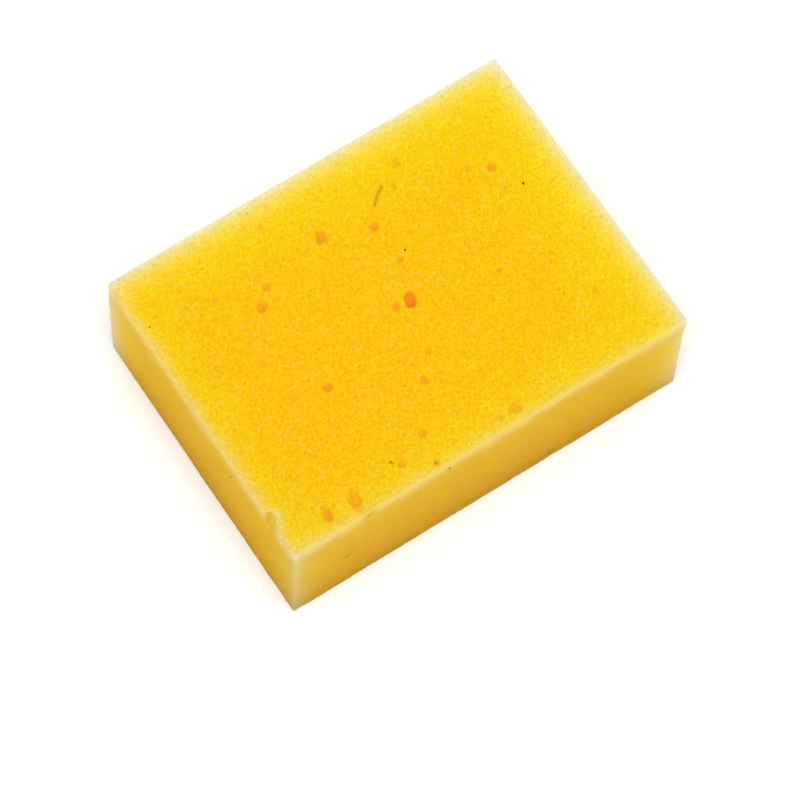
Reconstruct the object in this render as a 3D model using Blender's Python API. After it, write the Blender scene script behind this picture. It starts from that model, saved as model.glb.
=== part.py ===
"""A tiler's wash-up block for grout: one piece of open-cell polyurethane foam sawn from a bun.

Metres, +Z up. The origin is the middle of the underside, +X runs along the block's length and
-Y is the long side that faces the user. The block is a single piece with nothing fixed to it.
"""

from math import radians

import bpy
from mathutils import Euler, Vector

# Driving dimensions of the sawn block
LENGTH = 0.160
WIDTH = 0.1185
HEIGHT = 0.0555
RIM_RADIUS = 0.0008  # a saw leaves foam with soft, slightly eased edges
RIM_SEGMENTS = 3

# Gas bubbles that the saw opened. Each is an egg whose middle lies a little under the cut face.
PORE_SINK = 0.25  # how far the egg's middle lies under the face, as a share of its radius
PORE_SEGMENTS = 20
PORE_RINGS = 12

# The chip torn out of the top rim of the left end, near the front corner
CHIP_RADII = Vector((0.0045, 0.0050, 0.0100))
CHIP_FROM_FRONT = 0.0145  # its middle, measured back from the front face
CHIP_OUTSIDE = 0.0015  # its middle lies this far outside the left end

FOAM_YELLOW = (0.95, 0.52, 0.03, 1.0)
FOAM_ROUGHNESS = 0.95

# Face name: outward normal, first in-face direction, second in-face direction
FACES = {
    "top": (Vector((0, 0, 1)), Vector((1, 0, 0)), Vector((0, 1, 0))),
    "underside": (Vector((0, 0, -1)), Vector((1, 0, 0)), Vector((0, -1, 0))),
    "front": (Vector((0, -1, 0)), Vector((1, 0, 0)), Vector((0, 0, 1))),
    "back": (Vector((0, 1, 0)), Vector((-1, 0, 0)), Vector((0, 0, 1))),
    "left": (Vector((-1, 0, 0)), Vector((0, -1, 0)), Vector((0, 0, 1))),
    "right": (Vector((1, 0, 0)), Vector((0, 1, 0)), Vector((0, 0, 1))),
}

# The larger pores, in millimetres: face, place along the face's two directions from its
# middle, the opening's long and short diameter, depth, and the long diameter's turn in degrees.
PORES = (
    ("top", 4.4, -1.6, 6.8, 5.2, 2.8, 72),
    ("top", -8.9, 34.1, 5.6, 4.2, 1.6, 72),
    ("top", 8.8, 27.7, 4.6, 3.2, 1.3, 10),
    ("top", -51.5, -53.2, 9.8, 4.8, 1.8, 83),
    ("top", -62.0, -52.4, 7.8, 4.2, 1.7, 80),
    ("top", 12.4, -54.2, 5.8, 5.0, 1.3, 20),
    ("top", -39.9, 23.3, 5.8, 4.6, 1.5, 75),
    ("top", -34.8, 28.8, 3.8, 3.4, 1.2, 20),
    ("top", 55.5, 25.0, 4.4, 3.6, 1.3, 160),
    ("top", -37.0, -13.8, 4.4, 3.0, 1.4, 170),
    ("top", -19.3, -45.1, 3.6, 3.4, 1.1, 80),
    ("top", -31.2, -50.8, 4.0, 3.4, 1.0, 60),
    ("top", -8.1, -29.3, 3.8, 3.0, 1.0, 80),
    ("top", 28.2, 44.2, 4.4, 3.6, 1.0, 30),
    ("top", 9.5, 12.5, 3.2, 2.8, 0.9, 60),
    ("top", -1.2, -1.4, 4.2, 3.2, 0.9, 30),
    ("underside", -31.0, 18.0, 6.0, 4.6, 2.6, 25),
    ("underside", 22.0, -27.0, 4.8, 3.8, 1.8, 110),
    ("underside", 50.0, 33.0, 4.0, 3.2, 1.4, 60),
    ("underside", -52.0, -36.0, 3.6, 3.2, 1.2, 0),
    ("underside", 4.0, 40.0, 3.2, 2.8, 1.1, 140),
    ("underside", 61.0, -12.0, 3.4, 2.8, 1.1, 75),
    ("front", -57.9, -3.2, 3.4, 2.6, 1.0, 20),
    ("back", 34.0, 6.0, 4.6, 3.6, 1.8, 30),
    ("back", -41.0, -9.0, 3.6, 2.8, 1.3, 120),
    ("left", 21.0, -8.0, 3.4, 2.6, 1.2, 70),
    ("right", -18.0, 4.0, 4.4, 3.6, 1.8, 45),
    ("right", 33.0, -12.0, 3.2, 2.6, 1.2, 100),
)
MILLIMETRE = 0.001


def clear_scene():
    for old in list(bpy.data.objects):
        bpy.data.objects.remove(old, do_unlink=True)


def foam_material():
    """Matte yellow foam."""
    material = bpy.data.materials.new("yellow_foam")
    material.use_nodes = True
    shader = material.node_tree.nodes["Principled BSDF"]
    shader.inputs["Base Color"].default_value = FOAM_YELLOW
    shader.inputs["Roughness"].default_value = FOAM_ROUGHNESS
    shader.inputs["Metallic"].default_value = 0.0
    return material


def sawn_block():
    """The block with its eased edges, standing on the origin."""
    bpy.ops.mesh.primitive_cube_add(size=1.0)
    block = bpy.context.object
    block.name = "foam_block"
    for vertex in block.data.vertices:
        vertex.co = (
            vertex.co.x * LENGTH,
            vertex.co.y * WIDTH,
            (vertex.co.z + 0.5) * HEIGHT,
        )
    rim = block.modifiers.new("eased_edges", "BEVEL")
    rim.width = RIM_RADIUS
    rim.segments = RIM_SEGMENTS
    rim.limit_method = "ANGLE"
    block.data.materials.append(foam_material())
    return block


def egg_cutter(name, middle, radii, turn):
    """An ellipsoid that is only ever cut away: middle, its three radii and its rotation."""
    bpy.ops.mesh.primitive_uv_sphere_add(
        segments=PORE_SEGMENTS,
        ring_count=PORE_RINGS,
        radius=1.0,
        location=middle,
        rotation=turn,
    )
    egg = bpy.context.object
    egg.name = name
    for vertex in egg.data.vertices:
        vertex.co = [part * radius for part, radius in zip(vertex.co, radii)]
    egg.hide_render = True
    egg.display_type = "WIRE"
    return egg


def cut(block, cutter):
    """Cuts the egg out of the block."""
    tool = block.modifiers.new("cut_" + cutter.name, "BOOLEAN")
    tool.operation = "DIFFERENCE"
    tool.solver = "EXACT"
    tool.object = cutter
    return tool


def face_point(face, along, across):
    """A point on a face, measured from the face's middle along its two directions."""
    normal, first, second = FACES[face]
    half = Vector((LENGTH / 2, WIDTH / 2, HEIGHT / 2))
    centre = Vector((0, 0, HEIGHT / 2))
    reach = Vector([n * h for n, h in zip(normal, half)])
    return centre + reach + first * along + second * across


def pore_cutter(number, face, along, across, long_side, short_side, depth, turn):
    """The bubble behind one opening in a face."""
    normal, first, _ = FACES[face]
    deep = depth * MILLIMETRE / (1 + PORE_SINK)
    middle = face_point(face, along * MILLIMETRE, across * MILLIMETRE)
    middle -= normal * deep * PORE_SINK
    # Widest just under the face, so the opening itself keeps the stated diameters
    widen = (1 - PORE_SINK**2) ** -0.5
    radii = (
        long_side * MILLIMETRE / 2 * widen,
        short_side * MILLIMETRE / 2 * widen,
        deep,
    )
    to_face = normal.to_track_quat("Z", "Y").to_matrix()
    first_now = to_face @ Vector((1, 0, 0))
    offset = first_now.angle(first)
    if first_now.cross(first).dot(normal) < 0:
        offset = -offset
    spin = Euler((0, 0, offset + radians(turn))).to_matrix()
    return egg_cutter(f"pore_{number:02d}", middle, radii, (to_face @ spin).to_euler())


def chip_cutter():
    """The torn place on the top rim of the left end."""
    middle = Vector((-LENGTH / 2 - CHIP_OUTSIDE, -WIDTH / 2 + CHIP_FROM_FRONT, HEIGHT))
    return egg_cutter("rim_chip", middle, CHIP_RADII, (0, 0, 0))


def main():
    clear_scene()
    block = sawn_block()
    for number, pore in enumerate(PORES, start=1):
        cut(block, pore_cutter(number, *pore))
    cut(block, chip_cutter())


main()
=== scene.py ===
"""Looks of the grouting sponge: a sawn block of yellow open-cell foam on a plain pale floor.

The skin of the block is one closed mesh. It starts as a rounded box whose surface is a fine
grid. The saw's unevenness, the chip in the rim, the large pores and the foam's own cells are
then cut into it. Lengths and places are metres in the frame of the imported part, unless a name
ends in _MM: those are millimetres.
"""

from math import cos, radians, sin

import bmesh
import bpy
import numpy as np
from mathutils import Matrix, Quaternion, Vector


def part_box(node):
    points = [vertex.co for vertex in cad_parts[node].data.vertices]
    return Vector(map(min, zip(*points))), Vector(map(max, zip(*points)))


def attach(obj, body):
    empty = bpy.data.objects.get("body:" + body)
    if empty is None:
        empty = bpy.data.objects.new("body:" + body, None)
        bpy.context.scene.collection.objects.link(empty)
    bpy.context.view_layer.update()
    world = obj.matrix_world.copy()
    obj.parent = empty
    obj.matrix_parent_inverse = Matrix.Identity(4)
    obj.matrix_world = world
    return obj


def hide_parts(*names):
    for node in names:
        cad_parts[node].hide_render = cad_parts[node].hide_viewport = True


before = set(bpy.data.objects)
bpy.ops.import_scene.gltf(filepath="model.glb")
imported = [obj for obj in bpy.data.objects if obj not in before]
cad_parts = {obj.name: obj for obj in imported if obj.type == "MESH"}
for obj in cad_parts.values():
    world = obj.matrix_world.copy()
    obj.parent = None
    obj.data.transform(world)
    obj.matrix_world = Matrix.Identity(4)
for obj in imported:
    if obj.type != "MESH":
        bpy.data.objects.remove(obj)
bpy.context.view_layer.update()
LOW, HIGH = (np.array(corner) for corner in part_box("foam_block"))
SIZE = HIGH - LOW
MM = 0.001

# Each kind of unevenness draws its own repeatable noise. The pores, the grains of grit and the
# bubbles' own numbers count up from theirs.
SEEDS = dict(
    fine_cells=1, open_cells=11, saw=21, chip=31, bites=51, long_bites=52, pores=60, grit=80,
    lips=91, fine_lips=92,
)

# The skin's grid, and the soft edges that a saw leaves in foam
GRID = 0.4 * MM
RIM_RADIUS = 0.5 * MM

# The foam's own cells: spacing of the bubbles' middles, smallest and largest radius as shares
# of the spacing, share of the bubbles that are there, and how deep one may be
FINE_CELLS = dict(pitch=1.05 * MM, smallest=0.40, largest=0.78, share=1.0, deepest=0.42 * MM)
OPEN_CELLS = dict(pitch=2.6 * MM, smallest=0.20, largest=0.36, share=0.5, deepest=0.7 * MM)
SIDE_RELIEF = 0.45  # how deep the cells of the sides are cut, as a share of the big faces' cells
RIM_CLOSING = 0.6  # by what share the cells close up at a rim
RIM_CLOSING_REACH = 1 * MM

# The saw's unevenness, and the small bites along the rims
SAW_WAVE = 22 * MM
SAW_DEPTH = 0.1 * MM
BITE_WAVE = 3.4 * MM
BITE_DEPTH = 0.8 * MM
BITE_REACH = 1.6 * MM
LONG_BITE_WAVE = 3 * BITE_WAVE
LONG_BITE_SHARE = 0.7  # how deep the long bites are, as a share of the short ones
WEAR_AND_SHADE_REACH = 8 * MM
LEAST_WEAR = 0.2  # how bitten the rims far from the front and the left end are
LEAST_LOW_WEAR = 0.15  # how bitten the lower rims are, as a share of the top ones

# The chip torn out of the left end's top rim: places along Y, how deep it is at each, and how
# far down the end and in over the top it fades out
CHIP_MM = ((-49.6, 0.0), (-48.0, 0.5), (-46.4, 1.6), (-44.0, 3.1), (-41.6, 3.0), (-40.2, 0.0))
CHIP_DOWN = 13 * MM
CHIP_IN = 10 * MM
CHIP_LUMPS = 0.2  # by what share its depth varies, and in what wave
CHIP_LUMP_WAVE = 4 * MM
TORN_DEPTHS = (0.2 * MM, 1.2 * MM)  # where the skin begins to look torn, and where it fully does
# In front of the chip the rim has sagged: its middle along Y, half its length, how far it
# hangs, and how far in over the top that reaches
SAG_MM = (-51.0, 4.5, 2.3, 5.0)

# The foam's colours, as linear red, green and blue. The sides' tint is painted shade: darker and
# more orange than the big faces', for the less light that falls on the sides.
BIG_FACE_TINT = np.array((0.816, 0.486, 0.003))
SHADED_SIDE_TINT = np.array((0.770, 0.415, 0.018))
# Painted light and shade: the deeper orange of a pore's inside
PORE_GLOW_TINT = np.array((0.765, 0.245, 0.012))
PAINTED_FOOT_SHADE = np.array((0.27, 0.40, 0.30))  # painted shade: how much darker the sides are at the very bottom, near the floor
PAINTED_FOOT_SHADE_POWER = 2.2  # how late on the way down that sets in

# Painted light: less foam lies behind the surface near an edge, so light comes through and it
# looks paler there, most along the back and right edges; that glow is painted into the colour. For
# the edge shared with each face: how much more red and green a wide lemon band holds and how far
# in it reaches, then how strong a narrow pale band is and how far in that reaches. First for the
# big faces, then for the sides, which turn darker at their foot: that band along the underside is
# painted shade.
BIG_FACE_GLOW_BANDS_MM = {
    "back": (-0.01, 0.205, 11.0, 0.57, 2.15),
    "right": (-0.01, 0.190, 11.5, 0.56, 2.10),
    "front": (-0.058, 0.094, 8.5, 0.015, 3.0),
    "left": (-0.058, 0.100, 8.0, 0.010, 3.0),
}
SIDE_GLOW_AND_SHADE_BANDS_MM = {
    "back": (0.170, 0.275, 13.0, 0.33, 4.0),
    "right": (0.135, 0.250, 12.0, 0.26, 3.3),
    "front": (-0.045, 0.085, 10.0, 0.07, 4.0),
    "left": (-0.035, 0.130, 9.0, 0.14, 3.4),
    "top": (-0.020, 0.085, 9.0, 0.00, 1.0),
    "underside": (-0.170, -0.010, 4.0, 0.00, 1.0),
}
PAINTED_PALE_GLOW = np.array((-0.18, 0.05, 1.3))  # what the strongest painted pale glow would change
BAND_NORM = 4  # where lemon bands cross at a corner, they add up as a norm of this power
# The top rims have a dull cream lip that ends rather sharply: painted light, where light scatters
# through the rim. For the face that it lies on and the face beyond the rim: the red, green and
# blue that it changes, its width, and the wave in which that width wavers.
PAINTED_RIM_LIPS_MM = {
    ("top", "front"): (-0.022, -0.008, 0.058, 2.1, 4),
    ("top", "left"): (-0.035, -0.008, 0.110, 2.1, 4),
    ("front", "top"): (0.105, 0.150, 0.125, 5.7, 11),
    ("left", "top"): (0.090, 0.085, 0.104, 5.2, 11),
    ("back", "top"): (0.090, 0.120, 0.115, 5.3, 11),
    ("right", "top"): (0.090, 0.120, 0.115, 5.3, 11),
}
LIP_WAVER = 0.32  # by what share the lips' width wavers
FINE_LIP_WAVER = 0.4  # how strong a waver in a third of the wave is beside that
LIP_WAVER_AXES = (1, 1, 0.3)  # along the rims mostly, so lips have no islands and no long drips
LIP_END = 4  # how sharply the lips end
TORN_LIP_LOSS = 0.8  # how much of the lip is missing where the foam is torn
# Painted shade: a narrow darkening along the rims, strongest at the front and the left end
RIM_PAINTED_SHADE = 0.05
RIM_PAINTED_SHADE_REACH = 0.8 * MM
# How fast the big faces' green grows along each axis, per metre
LEMON_DRIFT = np.array((0.18, 0.13, 0.0))

# Large pores in millimetres: face, place along the face's two directions from its middle, the
# opening's long and short diameter, depth, the long diameter's turn in degrees, and how strongly
# its inside glows, from 0 to 1. The glow is painted light and shade: a deeper orange, for light
# that has come far through the foam into the hollow.
PORES_MM = (
    ("top", 4.4, -1.6, 6.8, 5.2, 2.8, 72, 0.88),
    ("top", -8.9, 34.1, 5.6, 4.2, 1.6, 72, 0.60),
    ("top", 8.8, 27.7, 4.6, 3.2, 1.3, 10, 0.60),
    ("top", -51.5, -53.2, 9.8, 4.8, 1.8, 83, 0.40),
    ("top", -62.0, -52.4, 7.8, 4.2, 1.7, 80, 0.50),
    ("top", 12.4, -54.2, 5.8, 5.0, 1.3, 20, 0.35),
    ("top", -39.9, 23.3, 5.8, 4.6, 1.5, 75, 0.42),
    ("top", -34.8, 28.8, 3.8, 3.4, 1.2, 20, 0.42),
    ("top", 55.5, 25.0, 4.4, 3.6, 1.3, 160, 0.52),
    ("top", -37.0, -13.8, 4.4, 3.0, 1.4, 170, 0.54),
    ("top", -19.3, -45.1, 3.6, 3.4, 1.1, 80, 0.38),
    ("top", -31.2, -50.8, 4.0, 3.4, 1.0, 60, 0.35),
    ("top", -8.1, -29.3, 3.8, 3.0, 1.0, 80, 0.38),
    ("top", 28.2, 44.2, 4.4, 3.6, 1.0, 30, 0.34),
    ("top", 9.5, 12.5, 3.2, 2.8, 0.9, 60, 0.36),
    ("top", -1.2, -1.4, 4.2, 3.2, 0.9, 30, 0.48),
    ("underside", -31.0, 18.0, 6.0, 4.6, 2.6, 25, 0.80),
    ("underside", 22.0, -27.0, 4.8, 3.8, 1.8, 110, 0.50),
    ("underside", 50.0, 33.0, 4.0, 3.2, 1.4, 60, 0.40),
    ("underside", -52.0, -36.0, 3.6, 3.2, 1.2, 0, 0.35),
    ("underside", 4.0, 40.0, 3.2, 2.8, 1.1, 140, 0.35),
    ("underside", 61.0, -12.0, 3.4, 2.8, 1.1, 75, 0.35),
    ("front", -57.9, -3.2, 3.4, 2.6, 1.0, 20, 0.22),
    ("back", 34.0, 6.0, 4.6, 3.6, 1.8, 30, 0.40),
    ("back", -41.0, -9.0, 3.6, 2.8, 1.3, 120, 0.30),
    ("left", 21.0, -8.0, 3.4, 2.6, 1.2, 70, 0.12),
    ("right", -18.0, 4.0, 4.4, 3.6, 1.8, 45, 0.40),
    ("right", 33.0, -12.0, 3.2, 2.6, 1.2, 100, 0.30),
)
# Faint, shallow pores of about 3 mm in the top face: where they are
FAINT_PORES_MM = (
    (48.0, 28.8), (23.3, 37.4), (54.3, 16.2), (35.9, -9.4), (59.8, -33.1), (-1.0, -21.1),
    (-50.6, 5.9), (-49.1, -11.2), (-51.8, 34.0), (6.5, -54.7), (-24.3, 48.4),
)
PORES_MM += tuple(("top", x, y, 3.4, 2.9, 0.7, 60, 0.20) for x, y in FAINT_PORES_MM)
PORE_HALO_MM = 0.9  # how far a pore's painted glow reaches past its opening
PORE_CORE = 0.4  # the share of the opening inside which the glow is full
PORE_LEAN = 0.4  # the bubbles lean, so a pore is deeper on its front or lower side by this share, and its painted glow and shade are stronger there
PORE_LEAN_LIMITS = (0.4, 1.6)
PORE_BOWL = 1.4  # above 1, so a pore's wall flattens out toward its opening
PORE_WAVER = 0.2  # by what share a pore's outline wavers, and in what wave
PORE_WAVER_WAVE = 1.8 * MM

# Grit on the block in millimetres: face, place along the face's two directions, and size
GRIT_MM = (
    ("top", 61.2, 13.6, 0.95),
    ("top", 13.0, 14.7, 0.70),
    ("top", -76.2, 37.5, 0.72),
    ("top", -33.9, -48.2, 0.52),
    ("top", -34.6, -48.5, 0.32),
    ("top", -33.7, -48.9, 0.32),
    ("top", -18.8, -54.2, 0.30),
    ("top", -57.2, -41.4, 0.38),
    ("top", 31.7, 5.4, 0.35),
    ("top", -25.5, 55.5, 0.40),
    ("front", -17.3, 22.6, 0.55),
    ("left", 19.8, 16.1, 0.55),
)
# A loose fibre on the top face in millimetres: its bends from the back end to the front, and
# its thickness
FIBRE_MM = ((19.6, 39.3), (18.1, 38.4), (16.7, 37.4), (15.2, 36.2), (14.2, 35.1), (13.1, 33.9))
FIBRE_THICKNESS = 0.85 * MM
# Stains and paler patches in millimetres: face, place along the face's two directions, how
# wide, and the share of red, green and blue that each leaves
STAINS_MM = (
    ("top", -70.0, -49.0, 28.0, (0.975, 1.035, 1.50)),
    ("top", 75.0, 54.5, 16.0, (1.00, 1.00, 1.25)),
    ("top", -21.3, -56.8, 1.7, (0.55, 0.38, 0.15)),
    ("front", -50.0, 24.8, 5.5, (0.86, 0.73, 0.12)),
    ("front", 28.2, -22.5, 1.0, (0.50, 0.30, 0.40)),
    ("front", 26.5, -23.0, 2.8, (1.06, 0.80, 0.60)),
    ("front", 38.3, -22.2, 2.0, (1.04, 0.84, 0.80)),
    ("front", 41.6, -22.2, 2.0, (1.02, 0.86, 1.20)),
    ("front", 40.0, -22.3, 1.5, (0.76, 0.72, 0.60)),
)

# The grain in the foam's colour: the wave of each kind of mark, and the red, green and blue that
# it multiplies or adds. The mottling is the foam's own tone; the pits' and the holes' darkening is
# painted shade, and the pale flecks are painted glints.
MOTTLE_WAVE, MOTTLE_TIMES = 6 * MM, (0.99, 0.94, 0.90)
PIT_SHADE_TIMES = (0.98, 0.93, 0.90)
WIDE_GLINT_WAVE, WIDE_GLINT_PLUS = 2.2 * MM, (0.004, 0.028, 0.017)
FINE_GLINT_WAVE, FINE_GLINT_PLUS = 0.9 * MM, (0.010, 0.050, 0.024)
HOLE_SHADE_WAVE, HOLE_SHADE_TIMES = 1.0 * MM, (0.93, 0.86, 0.80)
SIDE_GRAIN = 0.5  # how strong the grain is in the sides, as a share of the big faces' grain
PORE_GRAIN_LOSS = 0.7  # by what share it weakens inside a glowing pore
ROUGH_WAVE = 1.4 * MM
BUMP_PITCH = 0.8 * MM
BUMP_HEIGHT = 0.15 * MM
DULL_SPECULAR = 0.05

GRIT_BROWN = (0.115, 0.013, 0.002)
FIBRE_BROWN = (0.68, 0.31, 0.010)
FLOOR_WHITE = (0.97, 0.97, 0.97)

# Face name: outward normal, first in-face direction, second in-face direction
FACES = {
    "top": ((0, 0, 1), (1, 0, 0), (0, 1, 0)),
    "underside": ((0, 0, -1), (1, 0, 0), (0, -1, 0)),
    "front": ((0, -1, 0), (1, 0, 0), (0, 0, 1)),
    "back": ((0, 1, 0), (-1, 0, 0), (0, 0, 1)),
    "left": ((-1, 0, 0), (0, -1, 0), (0, 0, 1)),
    "right": ((1, 0, 0), (0, 1, 0), (0, 0, 1)),
}
FACES = {name: tuple(np.array(part, float) for part in parts) for name, parts in FACES.items()}

# The camera stands well back with a long lens
CAMERA_AZIMUTH = -36.55
CAMERA_ELEVATION = 68.0
CAMERA_ROLL = 3.58
CAMERA_DISTANCE = 1.503
CAMERA_LENS = 195.4
CAMERA_AIM = Vector((-0.0123, -0.0220, SIZE[2] / 2))

# Even light from all around, and one large softbox above
WORLD_STRENGTH = 0.52
SOFTBOX_PLACE = (-0.3, -0.5, 2.7)
SOFTBOX_SIDE = 1.6
SOFTBOX_POWER = 60.5
FLOOR_SIDE = 12
FLOOR_GAP = 0.4 * MM  # the foam's grain reaches a little below the plane that the block lies on


# ---------------------------------------------------------------- repeatable noise


def hashed(cells, salt):
    """A repeatable value from 0 to 1 for each whole-numbered cell (x, y, z). The large numbers
    and the shifts only mix the bits."""
    x, y, z = (cells[..., axis].astype(np.int64).astype(np.uint32) for axis in range(3))
    mixed = x * np.uint32(73856093) ^ y * np.uint32(19349663) ^ z * np.uint32(83492791)
    mixed ^= np.uint32(salt * 2654435 + 12345)
    for shift in (15, 12, 16):
        mixed ^= mixed >> np.uint32(shift)
        mixed *= np.uint32(0x2C1B3C6D)
    mixed ^= mixed >> np.uint32(14)
    return mixed / 2.0**32


def soft_noise(points, wave, salt):
    """Smooth noise from -1 to 1 whose humps are about one wave apart."""
    places = points / wave
    whole = np.floor(places)
    part = places - whole
    part = part * part * (3 - 2 * part)
    total = np.zeros(len(points))
    for corner in np.ndindex(2, 2, 2):
        weight = np.ones(len(points))
        for axis, side in enumerate(corner):
            weight = weight * (part[:, axis] if side else 1 - part[:, axis])
        total += weight * hashed(whole + np.array(corner), salt)
    return 2 * total - 1


def ramp(values, start, end):
    """0 before start, 1 after end and a smooth rise between them; start may be the larger."""
    share = np.clip((values - start) / (end - start), 0, 1)
    return share * share * (3 - 2 * share)


# ---------------------------------------------------------------- the skin


def box_grid(size, pitch):
    """The grid over a box's six faces: places as shares of the size, quads and chart corners."""
    counts = np.maximum(2, np.round(size / pitch)).astype(int)
    places, quads, charts = [], [], []
    start = 0
    for axis in range(3):
        first, second = (axis + 1) % 3, (axis + 2) % 3
        m, n = counts[first], counts[second]
        u, v = np.meshgrid(np.arange(m + 1), np.arange(n + 1), indexing="ij")
        corner = np.arange((m + 1) * (n + 1)).reshape(m + 1, n + 1)
        ring = [corner[:-1, :-1], corner[1:, :-1], corner[1:, 1:], corner[:-1, 1:]]
        across = np.stack([u * size[first] / m, v * size[second] / n], axis=-1)
        for side in (0, 1):
            place = np.zeros((m + 1, n + 1, 3), int)
            place[..., axis] = side * counts[axis]
            place[..., first] = u
            place[..., second] = v
            face = np.stack(ring if side else ring[::-1], axis=-1).reshape(-1, 4)
            charts.append(chart_place(size, axis, side, across).reshape(-1, 2)[face])
            places.append(place.reshape(-1, 3))
            quads.append(face + start)
            start += corner.size
    places, weld = np.unique(np.concatenate(places), axis=0, return_inverse=True)
    return places / counts, weld.reshape(-1)[np.concatenate(quads)], np.concatenate(charts)


def chart_place(size, axis, side, across):
    """Where a face's points lie on the square sheet of charts: the big faces one above the
    other, and the four narrow ones upright beside them."""
    gap = 2 * MM
    long, wide, tall = size
    beside = long + 2 * gap
    if axis == 2:
        corner = (gap, gap + (1 - side) * (wide + gap))
    else:
        corner = (beside + side * (tall + gap), gap + (1 - axis) * (long + gap))
    if axis == 0:
        across = across[..., ::-1]
    return (across + np.array(corner)) / (beside + 2 * (tall + gap))


def rounded_box(shares):
    """The box's skin with eased edges: points, outward normals and places on the sharp box."""
    sharp = LOW + shares * SIZE
    core = np.clip(sharp, LOW + RIM_RADIUS, HIGH - RIM_RADIUS)
    outward = sharp - core
    outward /= np.linalg.norm(outward, axis=1, keepdims=True)
    return core + outward * RIM_RADIUS, outward, sharp


def face_distance(sharp, face):
    """How far each point is from the plane of a face."""
    normal = FACES[face][0]
    return np.abs((sharp - np.where(normal > 0, HIGH, LOW)) @ normal)


def face_middle(face):
    return (LOW + HIGH) / 2 + FACES[face][0] * SIZE / 2


def tear_chip(points):
    """Draws the left end's skin inward where the chip is, and lets the rim beside it sag.
    Returns how torn the skin is at each point, from 0 to 1."""
    places, depths = zip(*CHIP_MM)
    depth = np.interp(points[:, 1] / MM, places, depths) * MM
    down = np.clip(1 - (HIGH[2] - points[:, 2]) / CHIP_DOWN, 0, 1)
    depth *= down**1.3
    depth *= 1 + CHIP_LUMPS * soft_noise(points, CHIP_LUMP_WAVE, SEEDS["chip"])
    inward = points[:, 0] - LOW[0]
    depth *= np.clip(1 - inward / CHIP_IN, 0, 1)
    points[:, 0] += depth
    torn = ramp(depth, *TORN_DEPTHS)
    middle, half, drop, reach = (value * MM for value in SAG_MM)
    drop = drop * np.exp(-(((points[:, 1] - middle) / half) ** 2))
    drop *= down
    points[:, 2] -= drop * np.clip(1 - inward / reach, 0, 1) ** 1.5
    return torn


def rim_distance(sharp):
    """How far each point is from the nearest rim."""
    return np.sort([face_distance(sharp, face) for face in FACES], axis=0)[1]


def wear_and_shade_share(sharp):
    """How worn the rims near each point are, and how strongly their painted shade lies: 1 at the
    front and the left end, less elsewhere.
    """
    nearer = np.minimum(face_distance(sharp, "front"), face_distance(sharp, "left"))
    return np.exp(-nearer / WEAR_AND_SHADE_REACH)


def rim_bites(points, sharp):
    """Depth of the irregular losses along the rims, most on the front and left top ones. It is
    negative where a rim stands out a little."""
    ragged = np.maximum(soft_noise(points, BITE_WAVE, SEEDS["bites"]), 0) ** 1.5
    ragged += LONG_BITE_SHARE * soft_noise(points, LONG_BITE_WAVE, SEEDS["long_bites"])
    ragged *= LEAST_WEAR + (1 - LEAST_WEAR) * wear_and_shade_share(sharp)
    upper = ramp(sharp[:, 2], LOW[2] + SIZE[2] / 2, HIGH[2])
    ragged *= LEAST_LOW_WEAR + (1 - LEAST_LOW_WEAR) * upper
    return BITE_DEPTH * ragged * np.exp(-rim_distance(sharp) / BITE_REACH)


def cell_depth(points, inward, salt, pitch, smallest, largest, share, deepest):
    """How deep the bubbles that the surface cuts go below each point."""
    home = np.floor(points / pitch)
    depth = np.zeros(len(points))
    for offset in np.ndindex(3, 3, 3):
        cell = home + np.array(offset) - 1
        jitter = np.stack([hashed(cell, salt + axis) for axis in range(3)], axis=1)
        to_middle = (cell + jitter) * pitch - points
        radius = pitch * (smallest + (largest - smallest) * hashed(cell, salt + 3))
        radius *= hashed(cell, salt + 4) < share
        inside = radius**2 - (to_middle**2).sum(axis=1)
        ahead = (to_middle * inward).sum(axis=1)
        reach = ahead + np.sqrt(np.maximum(inside + ahead**2, 0))
        depth = np.maximum(depth, np.where(inside > 0, reach, 0))
    return deepest * np.tanh(depth / deepest)


def pore_bowls(points, sharp):
    """Depth of the large pores below each point, and how strongly a pore's painted glow and shade
    colour each point inside one.
    """
    depth = np.zeros(len(points))
    glow = np.zeros(len(points))
    for number, pore in enumerate(PORES_MM):
        face, along, across, long, short, deep, turn, light = pore
        _, first, second = FACES[face]
        on_face = face_distance(sharp, face) < MM / 10
        where = (points[on_face] - face_middle(face)) / MM
        u, v = where @ first - along, where @ second - across
        angle = radians(turn)
        reach = np.hypot(
            (u * cos(angle) + v * sin(angle)) / (long / 2),
            (v * cos(angle) - u * sin(angle)) / (short / 2),
        )
        waver = soft_noise(points[on_face], PORE_WAVER_WAVE, SEEDS["pores"] + number)
        reach *= 1 + PORE_WAVER * waver
        lean = np.clip(1 - PORE_LEAN * v / (long / 2), *PORE_LEAN_LIMITS)
        bowl = deep * MM * np.clip(1 - reach**2, 0, 1) ** PORE_BOWL * lean
        depth[on_face] = np.maximum(depth[on_face], bowl)
        lit = ramp(reach, 1 + 2 * PORE_HALO_MM / long, PORE_CORE)
        glow[on_face] = np.maximum(glow[on_face], light * lit * lean**0.6)
    return depth, np.clip(glow, 0, 1)


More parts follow.
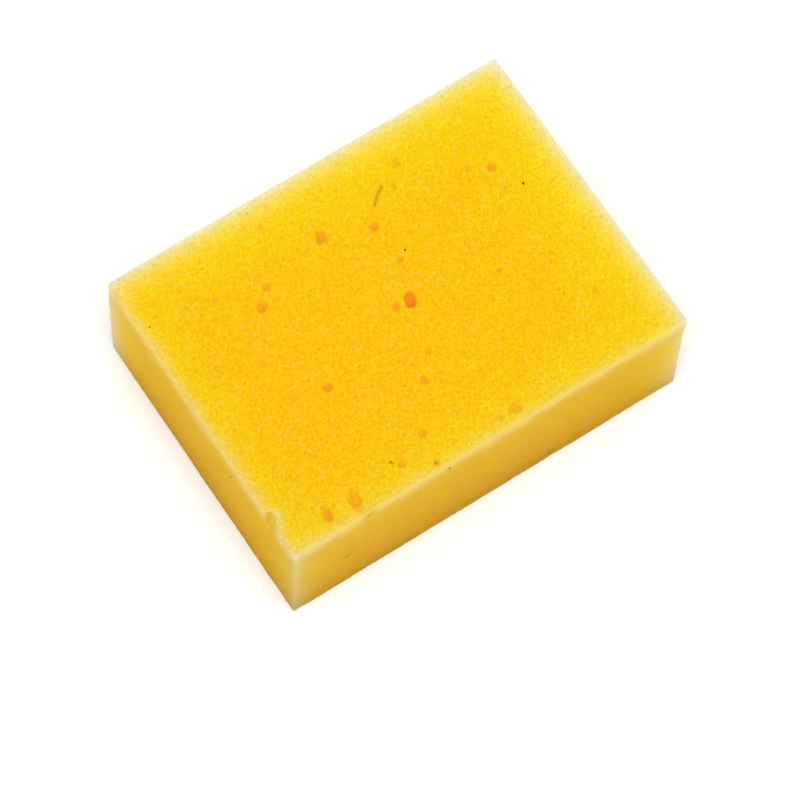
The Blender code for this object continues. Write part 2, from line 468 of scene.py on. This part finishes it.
def foam_tint(points, outward, sharp, torn, glow):
    """The foam's colour at each point, apart from its grain. Painted light and shade are in it:
    the sides' shade, the glow near the edges and along the top rims, the rims' shade and the
    pores' glow.
    """
    big = outward[:, 2:] ** 2
    low = (HIGH[2] - sharp[:, 2:]) / SIZE[2]
    # Painted shade: the sides are darker than the big faces, and darker still toward their foot
    shade = 1 - PAINTED_FOOT_SHADE * low**PAINTED_FOOT_SHADE_POWER
    tint = big * BIG_FACE_TINT + (1 - big) * SHADED_SIDE_TINT * shade
    tint[:, 1] += big[:, 0] * (points @ LEMON_DRIFT)
    # Painted light: the glow near the edges; the band at the sides' foot is painted shade
    for bands, here in ((BIG_FACE_GLOW_BANDS_MM, big), (SIDE_GLOW_AND_SHADE_BANDS_MM, 1 - big)):
        lemon, total, powers, pale = 0, 0, 0, 0
        for face, (red, green, reach, pale_share, pale_reach) in bands.items():
            beside = 1 - np.maximum(outward @ FACES[face][0], 0)[:, None] ** 2
            inward = face_distance(sharp, face)[:, None] / MM
            share = beside * np.exp(-inward / reach)
            lemon = lemon + share * np.array((red, green, 0))
            total = total + share
            powers = powers + share**BAND_NORM
            pale = pale + beside * pale_share * np.exp(-inward / pale_reach)
        tint = tint + here * lemon * powers ** (1 / BAND_NORM) / total
        tint = tint + here * PAINTED_PALE_GLOW * pale / (1 + pale)
    # Painted light: the pale lips along the top rims
    level = sharp * LIP_WAVER_AXES
    for (face, beyond), (*change, wide, wave) in PAINTED_RIM_LIPS_MM.items():
        here = np.maximum(outward @ FACES[face][0], 0) ** 2
        waver = soft_noise(level, wave * MM, SEEDS["lips"])
        waver += FINE_LIP_WAVER * soft_noise(level, wave / 3 * MM, SEEDS["fine_lips"])
        wide = wide * MM * (1 + LIP_WAVER * waver)
        share = here / (1 + (face_distance(sharp, beyond) / wide) ** LIP_END)
        if face == "left":
            share *= 1 - TORN_LIP_LOSS * torn  # the painted lip is mostly left out where the foam is torn
        tint += share[:, None] * np.array(change)
    # Painted shade along the rims
    rim_shade = wear_and_shade_share(sharp) * np.exp(-((rim_distance(sharp) / RIM_PAINTED_SHADE_REACH) ** 2))
    tint *= 1 - RIM_PAINTED_SHADE * rim_shade[:, None]
    # Painted light and shade inside the pores
    tint += glow[:, None] * (PORE_GLOW_TINT - tint)
    for face, along, across, wide, left in STAINS_MM:
        _, first, second = FACES[face]
        middle = face_middle(face) + (first * along + second * across) * MM
        away = np.linalg.norm(points - middle, axis=1) / (wide / 2 * MM)
        tint *= 1 - np.exp(-(away**2))[:, None] * (1 - np.array(left))
    return tint


def mesh_from(name, points, faces):
    """A smooth mesh from points and faces that all have the same number of corners."""
    mesh = bpy.data.meshes.new(name)
    mesh.vertices.add(len(points))
    mesh.vertices.foreach_set("co", points.ravel())
    mesh.loops.add(faces.size)
    mesh.loops.foreach_set("vertex_index", faces.ravel())
    mesh.polygons.add(len(faces))
    mesh.polygons.foreach_set("loop_start", np.arange(0, faces.size, faces.shape[1]))
    mesh.update(calc_edges=True)
    mesh.shade_smooth()
    return mesh


def in_scene(name, mesh, material):
    piece = bpy.data.objects.new(name, mesh)
    mesh.materials.append(material)
    bpy.context.scene.collection.objects.link(piece)
    return piece


def foam_skin():
    """The block's whole surface, with what the material needs to know at each point."""
    shares, quads, charts = box_grid(SIZE, GRID)
    points, outward, sharp = rounded_box(shares)
    torn = tear_chip(points)
    pores, glow = pore_bowls(points, sharp)
    fine = cell_depth(points, -outward, SEEDS["fine_cells"], **FINE_CELLS)
    wide = cell_depth(points, -outward, SEEDS["open_cells"], **OPEN_CELLS)
    cells = np.maximum(fine, wide)
    big = outward[:, 2] ** 2
    relief = SIDE_RELIEF + (1 - SIDE_RELIEF) * big
    relief *= 1 - RIM_CLOSING * np.exp(-((rim_distance(sharp) / RIM_CLOSING_REACH) ** 2))
    saw = SAW_DEPTH * soft_noise(points, SAW_WAVE, SEEDS["saw"])
    cut = saw + rim_bites(points, sharp) + (cells - cells.mean()) * relief + pores
    skin = points - outward * cut[:, None]

    mesh = mesh_from("foam_skin", skin, quads)
    mesh.uv_layers.new(name="OFBake").data.foreach_set("uv", charts.ravel())
    tint = np.ones((len(skin), 4))
    tint[:, :3] = foam_tint(points, outward, sharp, torn, glow)
    mesh.attributes.new("tint", "FLOAT_COLOR", "POINT").data.foreach_set("color", tint.ravel())
    grain = (SIDE_GRAIN + (1 - SIDE_GRAIN) * big) * (1 - PORE_GRAIN_LOSS * glow)
    for name, values in (("pit", cells / OPEN_CELLS["deepest"] * grain), ("grain", grain)):
        mesh.attributes.new(name, "FLOAT", "POINT").data.foreach_set("value", values)
    return in_scene("foam_skin", mesh, foam_material())


# ---------------------------------------------------------------- grit and the loose fibre


def add_grit():
    """The grains of grit, as one piece."""
    grains = bmesh.new()
    for number, (face, along, across, wide) in enumerate(GRIT_MM):
        _, first, second = FACES[face]
        middle = face_middle(face) + (first * along + second * across) * MM
        made = bmesh.ops.create_icosphere(grains, subdivisions=2, radius=wide / 2 * MM)
        for vertex in made["verts"]:
            away = np.array(vertex.co)
            place = (middle + away)[None]
            lump = 1 + 0.35 * soft_noise(place, 0.4 * wide * MM, SEEDS["grit"] + number)[0]
            vertex.co = middle + away * lump
    mesh = bpy.data.meshes.new("grit")
    grains.to_mesh(mesh)
    grains.free()
    mesh.shade_smooth()
    return in_scene("grit", mesh, plain_material("dark_grit", GRIT_BROWN, 0.9))


def add_fibre():
    """The loose fibre, a thin thread that lies along the top face."""
    path = bpy.data.curves.new("fibre_path", "CURVE")
    path.dimensions = "3D"
    path.bevel_depth = FIBRE_THICKNESS / 2
    path.bevel_resolution = 2
    path.use_fill_caps = True
    line = path.splines.new("NURBS")
    line.points.add(len(FIBRE_MM) - 1)
    line.use_endpoint_u = True
    for point, (x, y) in zip(line.points, FIBRE_MM):
        point.co = (x * MM, y * MM, HIGH[2], 1)
    mesh = bpy.data.meshes.new_from_object(bpy.data.objects.new("fibre_path", path))
    return in_scene("loose_fibre", mesh, plain_material("fibre_brown", FIBRE_BROWN, 0.9))


# ---------------------------------------------------------------- materials


class Layers:
    """Builds a material's colour from the ground up, one layer over another."""

    def __init__(self, material, ground):
        self.nodes = material.node_tree.nodes
        self.links = material.node_tree.links
        self.place = self.nodes.new("ShaderNodeTexCoord").outputs["Object"]
        self.colour = self.known(ground, "Color")

    def known(self, name, kind="Fac"):
        """What the mesh holds under a name at each point."""
        node = self.nodes.new("ShaderNodeAttribute")
        node.attribute_name = name
        return node.outputs[kind]

    def noise(self, wave, detail=1.0):
        node = self.nodes.new("ShaderNodeTexNoise")
        node.inputs["Scale"].default_value = 1 / wave
        node.inputs["Detail"].default_value = detail
        self.links.new(self.place, node.inputs["Vector"])
        return node.outputs["Fac"]

    def cells(self, pitch):
        """Distance to the nearest of the points scattered about one pitch apart."""
        node = self.nodes.new("ShaderNodeTexVoronoi")
        node.inputs["Scale"].default_value = 1 / pitch
        self.links.new(self.place, node.inputs["Vector"])
        return node.outputs["Distance"]

    def spread(self, source, low, high, first=0.0, last=1.0):
        """Source from low to high, made into first to last."""
        node = self.nodes.new("ShaderNodeMapRange")
        node.interpolation_type = "SMOOTHSTEP"
        self.links.new(source, node.inputs["Value"])
        node.inputs["From Min"].default_value = low
        node.inputs["From Max"].default_value = high
        node.inputs["To Min"].default_value = first
        node.inputs["To Max"].default_value = last
        return node.outputs["Result"]

    def times(self, first, second):
        node = self.nodes.new("ShaderNodeMath")
        node.operation = "MULTIPLY"
        self.links.new(first, node.inputs[0])
        self.links.new(second, node.inputs[1])
        return node.outputs["Value"]

    def add(self, share, colour, way):
        """Lays colour over what is there, as thickly as share says. The way is MULTIPLY or ADD."""
        node = self.nodes.new("ShaderNodeMix")
        node.data_type = "RGBA"
        node.blend_type = way
        below, above = (socket for socket in node.inputs if socket.type == "RGBA")
        self.links.new(share, node.inputs["Factor"])
        self.links.new(self.colour, below)
        above.default_value = (*colour, 1)
        self.colour = next(socket for socket in node.outputs if socket.type == "RGBA")


def foam_material():
    material = bpy.data.materials.new("yellow_foam")
    material.use_nodes = True
    shader = material.node_tree.nodes["Principled BSDF"]
    shader.inputs["Specular IOR Level"].default_value = DULL_SPECULAR
    shader.inputs["Subsurface Weight"].default_value = 0.8
    shader.inputs["Subsurface Radius"].default_value = (1.0, 0.7, 0.4)
    shader.inputs["Subsurface Scale"].default_value = 2.0 * MM

    foam = Layers(material, "tint")
    grain = foam.known("grain")
    # Wide mottling, then painted shade in the pits of the cells, painted glints of pale cell wall
    # and the painted shade of small dark holes
    mottle = foam.spread(foam.noise(MOTTLE_WAVE, detail=2.0), 0.35, 0.65, first=0.5, last=0.0)
    foam.add(mottle, MOTTLE_TIMES, "MULTIPLY")
    foam.add(foam.spread(foam.known("pit"), 0.25, 0.8), PIT_SHADE_TIMES, "MULTIPLY")
    glints = foam.spread(foam.noise(WIDE_GLINT_WAVE), 0.52, 0.72)
    foam.add(foam.times(glints, grain), WIDE_GLINT_PLUS, "ADD")
    glints = foam.spread(foam.noise(FINE_GLINT_WAVE), 0.62, 0.78)
    foam.add(foam.times(glints, grain), FINE_GLINT_PLUS, "ADD")
    hole_shade = foam.spread(foam.noise(HOLE_SHADE_WAVE), 0.34, 0.24)
    foam.add(foam.times(hole_shade, grain), HOLE_SHADE_TIMES, "MULTIPLY")
    foam.links.new(foam.colour, shader.inputs["Base Color"])

    rough = foam.spread(foam.noise(ROUGH_WAVE), 0.3, 0.7, first=0.82, last=0.98)
    foam.links.new(rough, shader.inputs["Roughness"])

    bump = foam.nodes.new("ShaderNodeBump")
    bump.inputs["Strength"].default_value = 0.5
    bump.inputs["Distance"].default_value = BUMP_HEIGHT
    foam.links.new(foam.cells(BUMP_PITCH), bump.inputs["Height"])
    foam.links.new(bump.outputs["Normal"], shader.inputs["Normal"])
    return material


def plain_material(name, colour, roughness):
    material = bpy.data.materials.new(name)
    material.use_nodes = True
    shader = material.node_tree.nodes["Principled BSDF"]
    shader.inputs["Base Color"].default_value = (*colour, 1)
    shader.inputs["Roughness"].default_value = roughness
    shader.inputs["Specular IOR Level"].default_value = DULL_SPECULAR
    return material


# ---------------------------------------------------------------- stage, light and camera


def add_floor():
    bpy.ops.mesh.primitive_plane_add(size=FLOOR_SIDE, location=(0, 0, LOW[2] - FLOOR_GAP))
    floor = bpy.context.object
    floor.name = "floor"
    floor.data.materials.append(plain_material("pale_floor", FLOOR_WHITE, 0.8))


def add_softbox(name, place, side, power):
    """A square lamp that faces the block."""
    lamp = bpy.data.lights.new(name, "AREA")
    lamp.shape = "SQUARE"
    lamp.size = side
    lamp.energy = power
    box = bpy.data.objects.new(name, lamp)
    box.location = place
    box.rotation_euler = Vector(place).to_track_quat("Z", "Y").to_euler()
    bpy.context.scene.collection.objects.link(box)


def add_lights():
    world = bpy.data.worlds.new("studio")
    world.use_nodes = True
    background = world.node_tree.nodes["Background"]
    background.inputs["Color"].default_value = (1, 1, 1, 1)
    background.inputs["Strength"].default_value = WORLD_STRENGTH
    bpy.context.scene.world = world
    add_softbox("softbox", SOFTBOX_PLACE, SOFTBOX_SIDE, SOFTBOX_POWER)
    bpy.context.scene.view_settings.view_transform = "Standard"


def add_camera():
    azimuth, elevation = radians(CAMERA_AZIMUTH), radians(CAMERA_ELEVATION)
    back = Vector((sin(azimuth) * cos(elevation), -cos(azimuth) * cos(elevation), sin(elevation)))
    lens = bpy.data.cameras.new("studio_camera")
    lens.lens = CAMERA_LENS
    camera = bpy.data.objects.new("studio_camera", lens)
    camera.location = CAMERA_AIM + back * CAMERA_DISTANCE
    roll = Quaternion((0, 0, 1), radians(CAMERA_ROLL))
    camera.rotation_euler = (back.to_track_quat("Z", "Y") @ roll).to_euler()
    bpy.context.scene.collection.objects.link(camera)
    bpy.context.scene.camera = camera


def main():
    block = foam_skin()
    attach(block, "root")
    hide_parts("foam_block")
    for piece in (add_grit(), add_fibre()):
        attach(piece, "root")
    add_floor()
    add_lights()
    add_camera()


main()
